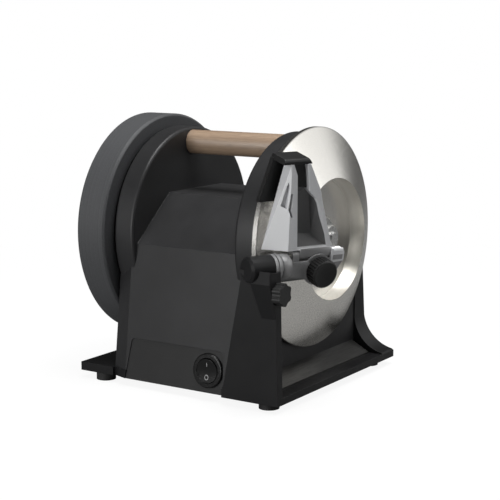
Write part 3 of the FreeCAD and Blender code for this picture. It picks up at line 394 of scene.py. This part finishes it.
def honing_compound(name):
    """The honing wheel's composite: speckled dark grey with rings of wear on its tread."""
    shader = Shader(name)
    along_axis = shader.around_wheel()[1]
    speckle = shader.noise(1500.0, 4.0, 0.75)
    wear = shader.bands(along_axis, 900.0)
    tone = shader.maths("ADD", shader.maths("MULTIPLY", speckle, 0.7), shader.maths("MULTIPLY", wear, 0.3))
    colour = shader.ramp(tone, [(0.3, (0.030, 0.031, 0.033)), (0.7, (0.062, 0.064, 0.068))])
    normal = shader.bump(speckle, 0.15, 0.0001, shader.soft_edge(1.2 * MM)[0])
    return shader.finish(Base_Color=colour, Roughness=0.6, Normal=normal)


def tray_sheet(name):
    """Dark coated sheet with a soft sheen."""
    shader = Shader(name)
    grain = shader.noise(4.0, 3.0, 0.6, shader.stretched((400.0, 20.0, 400.0)))
    colour = shader.ramp(grain, [(0.3, (0.04, 0.039, 0.038)), (0.7, (0.075, 0.075, 0.072))])
    return shader.finish(Base_Color=colour, Metallic=0.8, Roughness=0.38)


def nylon(name):
    """Natural nylon for the gears."""
    shader = Shader(name)
    colour = shader.ramp(shader.noise(60.0), [(0.3, (0.62, 0.60, 0.53)), (0.7, (0.72, 0.70, 0.63))])
    return shader.finish(Base_Color=colour, Roughness=0.4)


def circuit_green(name):
    """Solder mask with faint tracks."""
    shader = Shader(name)
    tracks = shader.noise(600.0, 0.0, 0.5, shader.stretched((1.0, 0.2, 1.0)))
    colour = shader.ramp(tracks, [(0.45, (0.012, 0.10, 0.045)), (0.55, (0.02, 0.15, 0.07))])
    return shader.finish(Base_Color=colour, Roughness=0.35)


def mark_white(name):
    """White printing ink."""
    shader = Shader(name)
    colour = shader.ramp(shader.noise(800.0), [(0.3, (0.24, 0.24, 0.24)), (0.7, (0.32, 0.32, 0.32))])
    return shader.finish(Base_Color=colour, Roughness=0.5)


MATERIALS = {
    "housing_plastic": moulded_plastic("housing_plastic", (0.014, 0.014, 0.0145), (0.020, 0.020, 0.021),
                                       edge=0.6),
    "base_plastic": moulded_plastic("base_plastic", (0.0055, 0.0055, 0.006), (0.009, 0.009, 0.0095),
                                    0.45, sheen=0.24),
    "dark_plastic": moulded_plastic("dark_plastic", (0.010, 0.010, 0.010), (0.015, 0.015, 0.015), 0.5),
    "knob_plastic": moulded_plastic("knob_plastic", (0.009, 0.009, 0.009), (0.015, 0.015, 0.015),
                                    0.4, 1400.0),
    "switch_plastic": moulded_plastic("switch_plastic", (0.004, 0.004, 0.004), (0.007, 0.007, 0.007),
                                      0.22, 600.0, 0.00002),
    "rubber_black": rubber("rubber_black", (0.008, 0.008, 0.008), (0.018, 0.018, 0.018)),
    "beech": beech("beech"),
    "steel_dish": turned_steel("steel_dish"),
    "honing_compound": honing_compound("honing_compound"),
    "guide_metal": blasted_metal("guide_metal", (0.64, 0.645, 0.66), (0.76, 0.765, 0.78), 0.35),
    "plain_steel": plain_metal("plain_steel", (0.66, 0.66, 0.65)),
    "gear_nylon": nylon("gear_nylon"),
    "board_green": circuit_green("board_green"),
    "tray_metal": tray_sheet("tray_metal"),
}
GUIDE_METAL = MATERIALS["guide_metal"]
# A darker copy of the guide metal for the pocket's floor and walls.
POCKET_METAL = blasted_metal("guide_pocket_metal", (0.09, 0.09, 0.092), (0.13, 0.13, 0.13), 0.2)
# A dark copy of the guide metal, painted shade for the carrier bar, its sight window and the casting below
# its knuckle.
SHADE_PAINTED_METAL = blasted_metal("guide_shade_painted_metal", (0.24, 0.24, 0.243), (0.33, 0.33, 0.333), 0.4)
# A near-white copy of the guide metal: painted highlight for the leg's slanted face and the sight block,
# which catch the front light.
LIT_PAINTED_METAL = blasted_metal("guide_lit_painted_metal", (0.93, 0.94, 0.95), (0.96, 0.97, 0.98), 0.0)
COLLAR_METAL = blasted_metal("guide_collar_metal", (0.22, 0.22, 0.225), (0.34, 0.34, 0.345), 0.6)
MARK_INK = mark_white("mark_ink")


def dress_nodes():
    """Every node takes the finish of its slot in the record."""
    for row in frame["record"]["subparts"]:
        for slot in nodes[row["node"]].material_slots:
            slot.material = MATERIALS[row["material_slot"]]


# Camera and studio
def set_camera():
    """The photograph's viewpoint."""
    data = bpy.data.cameras.new("view")
    data.sensor_width = SENSOR
    data.lens = LENS
    data.clip_end = 20.0
    camera = bpy.data.objects.new("view", data)
    bpy.context.scene.collection.objects.link(camera)
    ahead = Vector((-math.sin(CAMERA_AZIMUTH) * math.cos(CAMERA_DROP),
                    math.cos(CAMERA_AZIMUTH) * math.cos(CAMERA_DROP), -math.sin(CAMERA_DROP)))
    camera.location = CAMERA_AT
    camera.rotation_euler = ahead.to_track_quat("-Z", "Y").to_euler()
    bpy.context.scene.camera = camera


def set_world():
    """White where the camera looks, and a studio with a bright ceiling and dim sides elsewhere."""
    world = bpy.data.worlds.new("studio")
    bpy.context.scene.world = world
    world.use_nodes = True
    sky = Tree(world.node_tree)
    sky.tree.nodes.clear()
    place = sky.add("ShaderNodeTexCoord").outputs["Generated"]
    lean = sky.remap(sky.vector_maths("DOT_PRODUCT", place, CEILING_AT), -1.0, 1.0, 0.0, 1.0)
    ceiling = sky.ramp(lean, [((where + 1.0) / 2.0, (tone,) * 3) for where, tone in CEILING_STOPS])
    to_camera, to_gloss = sky.rays()
    lit = sky.background(WORLD_TONE, WORLD_LEVEL)
    around = sky.blend_surfaces(to_gloss, lit, sky.background(ceiling, 1.0))
    everything = sky.blend_surfaces(to_camera, around, sky.background((1, 1, 1), 1.0))
    sky.fill(sky.add("ShaderNodeOutputWorld").inputs["Surface"], everything)


def set_floor():
    """A plain pale floor: white to the camera with a share of its own shading, for a soft shadow."""
    mesh = bpy.data.meshes.new("floor")
    corners = [(-FLOOR_HALF, -FLOOR_HALF, 0), (FLOOR_HALF, -FLOOR_HALF, 0),
               (FLOOR_HALF, FLOOR_HALF, 0), (-FLOOR_HALF, FLOOR_HALF, 0)]
    mesh.from_pydata(corners, [], [(0, 1, 2, 3)])
    floor = bpy.data.objects.new("floor", mesh)
    bpy.context.scene.collection.objects.link(floor)

    paper = Shader("floor_paper")
    to_camera, to_gloss = paper.rays()
    colour = paper.blend(to_camera, FLOOR_TONE, FLOOR_SEEN)
    paper.finish(Base_Color=colour, Roughness=0.9, Specular_IOR_Level=0.1)
    glow = paper.add("ShaderNodeEmission")
    reach = paper.vector_maths("LENGTH", paper.place)
    white = paper.remap(reach, SHADOW_NEAR, SHADOW_FAR, FLOOR_WHITE, 1.0, interpolation_type="SMOOTHSTEP")
    seen = paper.maths("MULTIPLY", to_camera, white)
    mirrored = paper.maths("MULTIPLY", to_gloss, FLOOR_MIRRORED)
    mixed = paper.blend_surfaces(paper.maths("MAXIMUM", seen, mirrored), paper.surface.outputs[0],
                                 glow.outputs[0])
    paper.fill(paper.tree.nodes["Material Output"].inputs["Surface"], mixed)
    mesh.materials.append(paper.material)


def add_lamp(name, at, power, size, gloss):
    """A square soft box, with a share of its light for gloss."""
    data = bpy.data.lights.new(name, "AREA")
    data.shape = "SQUARE"
    data.size = size
    data.energy = power
    data.specular_factor = gloss
    lamp = bpy.data.objects.new(name, data)
    bpy.context.scene.collection.objects.link(lamp)
    lamp.location = at
    lamp.rotation_euler = (Vector(LAMP_AIM) - Vector(at)).to_track_quat("-Z", "Y").to_euler()


def set_studio():
    """Soft light from above and from the front left, with a weak one from the right."""
    add_lamp("top", (0.2, 0.0, 1.4), power=25.0, size=0.8, gloss=0.35)
    add_lamp("front_left", (-0.34, -1.55, 0.36), power=15.0, size=0.8, gloss=0.7)
    add_lamp("right", (1.2, 0.4, 0.7), power=2.0, size=0.6, gloss=0.05)


# Building meshes
def take_mesh(name, shape):
    """The mesh of an edit shape, which is freed."""
    mesh = bpy.data.meshes.new(name)
    shape.to_mesh(mesh)
    shape.free()
    return mesh


def closed_mesh(name, points, faces):
    """A closed mesh with its faces turned outward."""
    shape = bmesh.new()
    corners = [shape.verts.new(point) for point in points]
    for face in faces:
        shape.faces.new([corners[index] for index in face])
    bmesh.ops.recalc_face_normals(shape, faces=shape.faces)
    return take_mesh(name, shape)


def prism_faces(start, count):
    """Faces of a prism whose low ring of corners is followed by its high ring."""
    faces = [[start + i for i in reversed(range(count))], [start + count + i for i in range(count)]]
    for i in range(count):
        j = (i + 1) % count
        faces.append([start + i, start + j, start + count + j, start + count + i])
    return faces


def ring_faces(sides, count):
    """Faces of a ring made of so many sections, each a closed row of corners."""
    faces = []
    for i in range(sides):
        here = i * count
        there = ((i + 1) % sides) * count
        for k in range(count):
            n = (k + 1) % count
            faces.append([here + k, here + n, there + n, there + k])
    return faces


def guide_mesh(name, prisms):
    """Closed slabs and wedges whose corners are given in the guide's frame."""
    points = []
    faces = []
    for low_ring, high_ring in prisms:
        faces += prism_faces(len(points), len(low_ring))
        points += [guide_point(*corner) for corner in low_ring + high_ring]
    return closed_mesh(name, points, faces)


def outline_at(outline, q):
    """An outline of (t, s) points at one distance out of the guide."""
    return [(t, s, q) for t, s in outline]


def slab(outline, q_low, q_high):
    """An outline as a low and a high ring."""
    return outline_at(outline, q_low), outline_at(outline, q_high)


def smooth(mesh, angle=30.0):
    """Shade smooth with sharp edges kept."""
    for polygon in mesh.polygons:
        polygon.use_smooth = True
    mesh.set_sharp_from_angle(angle=math.radians(angle))


def new_piece(name, mesh, body, material, rounding=None):
    """A new object that rides on a body, with small rounded edges where a rounding in mm is given."""
    piece = bpy.data.objects.new(name, mesh)
    bpy.context.scene.collection.objects.link(piece)
    mesh.materials.append(material)
    if rounding is not None:
        bevel = piece.modifiers.new("soft_edges", "BEVEL")
        bevel.width = rounding * MM
        bevel.segments = 2
        bevel.limit_method = "ANGLE"
        bevel.angle_limit = math.radians(25.0)
    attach(piece, body)
    return piece


def cut_away(shape, corners, keep):
    """Remove what lies past the plane through three points of the guide's frame, and close the cut."""
    first, second, third = (guide_point(*corner) for corner in corners)
    normal = (second - first).cross(third - first).normalized()
    if normal.dot(guide_point(*keep) - first) > 0:
        normal = -normal
    everything = shape.verts[:] + shape.edges[:] + shape.faces[:]
    cut = bmesh.ops.bisect_plane(shape, geom=everything, dist=1e-7, plane_co=first, plane_no=normal,
                                 clear_outer=True)
    rim = [item for item in cut["geom_cut"] if isinstance(item, bmesh.types.BMEdge)]
    bmesh.ops.triangle_fill(shape, use_beauty=True, use_dissolve=True, edges=rim, normal=normal)


def trimmed_copy(name, node, body, material, cuts, inside):
    """A node's own shape with some of it cut away, standing for the node."""
    shape = bmesh.new()
    shape.from_mesh(nodes[node].data)
    bmesh.ops.remove_doubles(shape, verts=shape.verts, dist=1e-6)
    for corners in cuts:
        cut_away(shape, corners, inside)
    mesh = take_mesh(name, shape)
    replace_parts(new_piece(name, mesh, body, material), node)
    return mesh


# Visual pieces
def add_casting():
    """The cast guide's foot and pocket, without its left leg and with a slimmer web at its foot."""
    mesh = trimmed_copy("guide_casting", "guide_frame", "knife_guide", GUIDE_METAL, [LEG_CUT, WEB_CUT],
                        CASTING_INSIDE)
    mesh.materials.append(POCKET_METAL)
    mesh.materials.append(SHADE_PAINTED_METAL)
    floor_at = guide_point(0, 0, POCKET_Q).dot(GUIDE_OUT)
    foot_at = guide_point(0, KNUCKLE_TOP, 0).dot(GUIDE_UP)
    for polygon in mesh.polygons:
        on_floor = abs(polygon.center.dot(GUIDE_OUT) - floor_at) < 0.05 * MM
        polygon.material_index = 1 if on_floor else 0
        # Below the knuckle the faces take the dark copy of the metal, painted shade.
        if polygon.center.dot(GUIDE_UP) < foot_at:
            polygon.material_index = 2
    smooth(mesh)


def add_leg():
    """The left leg: a slanted face painted bright as a painted highlight, a recessed window with its floor,
    and a slot through it.
    """
    shape = bmesh.new()
    for outline in (LEG_OUTLINE, LEG_WINDOW, LEG_SLOT):
        ring = [shape.verts.new(guide_point(*corner)) for corner in outline_at(outline, GUIDE_BACK)]
        for i, corner in enumerate(ring):
            shape.edges.new((corner, ring[(i + 1) % len(ring)]))
    bmesh.ops.triangle_fill(shape, use_beauty=True, use_dissolve=True, edges=shape.edges[:],
                            normal=GUIDE_OUT)
    raised = bmesh.ops.extrude_face_region(shape, geom=shape.faces[:])
    top = [item for item in raised["geom"] if isinstance(item, bmesh.types.BMVert)]
    front = GUIDE_FRONT + LEG_PROUD
    bmesh.ops.translate(shape, verts=top, vec=GUIDE_OUT * (front - GUIDE_BACK) * MM)
    bmesh.ops.recalc_face_normals(shape, faces=shape.faces)
    facet = [(*LEG_FOOT, LEG_SKIN), (*FACET_FOOT, front), (*FACET_TOP, front)]
    cut_away(shape, facet, LEG_INSIDE)
    mesh = take_mesh("guide_leg", shape)
    new_piece("guide_leg", mesh, "knife_guide", GUIDE_METAL, rounding=0.25)
    # The slanted face takes the near-white copy, a painted highlight.
    mesh.materials.append(LIT_PAINTED_METAL)
    for polygon in mesh.polygons:
        slanted = FACET_LEAN[0] < polygon.normal.dot(GUIDE_OUT) < FACET_LEAN[1]
        polygon.material_index = 1 if slanted else 0

    sloping = [(t, s, q) for (t, s), q in zip(WINDOW_FLOOR, WINDOW_FLOOR_HIGH)]
    floor = guide_mesh("window_floor", [(outline_at(WINDOW_FLOOR, WINDOW_FLOOR_LOW), sloping)])
    new_piece("window_floor", floor, "knife_guide", GUIDE_METAL)


def add_right_arm():
    """The right arm, and the pocket's sloping walls at its right and at its foot."""
    arm = guide_mesh("guide_right_arm", [slab(ARM_OUTLINE, GUIDE_BACK, ARM_FRONT)])
    new_piece("guide_right_arm", arm, "knife_guide", GUIDE_METAL, rounding=0.35)

    low = WALL_LOW
    step = WALL_LOW + 0.2
    front = WALL_FRONT
    foot = POCKET_FOOT
    wall = ([(-11.9, 42.7, low), (-5.3, 11.8, low), (6.0, foot, low), (-2.4, 28.1, low), (-8.0, 37.0, low)],
            [(-11.7, 42.5, step), (-5.1, 11.6, step), (5.2, foot, front), (-2.9, 28.1, front),
             (-8.2, 36.6, front)])
    ramp = ([(-24.0, 12.0, low), (-24.0, foot, low), (6.0, foot, low), (-5.1, 11.8, low)],
            [(-19.6, 12.0, step), (-18.4, foot, front), (5.2, foot, front), (-5.1, 11.8, step)])
    pocket = guide_mesh("guide_pocket_walls", [wall, ramp])
    new_piece("guide_pocket_walls", pocket, "knife_guide", POCKET_METAL)


def add_bar():
    """The carrier bar with its trimmed end, darkened as painted shade, and the sight pieces on it, whose
    block is painted bright as a highlight.
    """
    bar = trimmed_copy("guide_bar", "guide_arm", "guide_carrier", SHADE_PAINTED_METAL, [BAR_END_CUT, BAR_CORNER_CUT],
                       BAR_INSIDE)
    smooth(bar)
    for name, outline, q_low, q_high, material, rounding in (
            ("sight_plate", SIGHT_PLATE, 10.9, 11.7, GUIDE_METAL, 0.3),
            ("sight_window", SIGHT_WINDOW, 11.5, 11.85, SHADE_PAINTED_METAL, 0.15),
            ("sight_block", SIGHT_BLOCK, 7.2, 12.0, LIT_PAINTED_METAL, 0.3)):
        mesh = guide_mesh(name, [slab(outline, q_low, q_high)])
        new_piece(name, mesh, "guide_carrier", material, rounding=rounding)


def add_collar():
    """A turned ring about the right end of the barrel."""
    points = []
    for i in range(COLLAR_SIDES):
        turn = 2 * math.pi * i / COLLAR_SIDES
        for t, radius in COLLAR_PROFILE:
            points.append(guide_point(COLLAR_T + t, BARREL_S + radius * math.sin(turn),
                                      BARREL_Q + radius * math.cos(turn)))
    collar = closed_mesh("barrel_collar", points, ring_faces(COLLAR_SIDES, len(COLLAR_PROFILE)))
    smooth(collar)
    new_piece("barrel_collar", collar, "machine", COLLAR_METAL)


def surface_under(node, start, ahead):
    """Where a ray first meets a node at rest, and the surface normal there."""
    mesh = nodes[node].data
    found = None
    for polygon in mesh.polygons:
        corners = [mesh.vertices[index].co for index in polygon.vertices]
        for i in range(1, len(corners) - 1):
            hit = intersect_ray_tri(corners[0], corners[i], corners[i + 1], ahead, start)
            if hit is not None and (found is None or (hit - start).length < (found[0] - start).length):
                found = (hit, polygon.normal.copy())
    return found


def bar_mark():
    """Corners and faces of a plain I: across, up and out of the surface."""
    outline = [(-BAR_HALF_WIDE, -BAR_HALF_HIGH), (BAR_HALF_WIDE, -BAR_HALF_HIGH),
               (BAR_HALF_WIDE, BAR_HALF_HIGH), (-BAR_HALF_WIDE, BAR_HALF_HIGH)]
    return outline_at(outline, 0.0) + outline_at(outline, MARK_PROUD), prism_faces(0, len(outline))


def ring_mark():
    """Corners and faces of a plain O: across, up and out of the surface."""
    section = ((RING_INNER, 0.0), (RING_INNER, MARK_PROUD), (RING_OUTER, MARK_PROUD), (RING_OUTER, 0.0))
    points = []
    for i in range(RING_SIDES):
        turn = 2 * math.pi * i / RING_SIDES
        for radius, out in section:
            points.append((math.cos(turn) * radius, math.sin(turn) * radius * RING_STRETCH, out))
    return points, ring_faces(RING_SIDES, len(section))


def add_switch_mark(name, rise, points, faces):
    """A mark laid on the rocker's front, so many mm above its middle."""
    low, high = (Vector(corner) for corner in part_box("switch_rocker"))
    middle = (low + high) / 2
    start = Vector((middle.x, low.y - 0.02, middle.z + rise * MM))
    spot, out = surface_under("switch_rocker", start, Vector((0, 1, 0)))
    if out.y > 0:
        out = -out
    side = Vector((1, 0, 0))
    up = side.cross(out).normalized()
    if up.z < 0:
        up = -up
    placed = [spot + (side * across + up * along + out * proud) * MM for across, along, proud in points]
    new_piece(name, closed_mesh(name, placed, faces), "rocker", MARK_INK)


dress_nodes()
set_camera()
set_world()
set_floor()
set_studio()
add_casting()
add_leg()
add_right_arm()
add_bar()
add_collar()
add_switch_mark("mark_on", MARK_ON_Z, *bar_mark())
add_switch_mark("mark_off", MARK_OFF_Z, *ring_mark())
bpy.context.scene.view_settings.view_transform = "Standard"
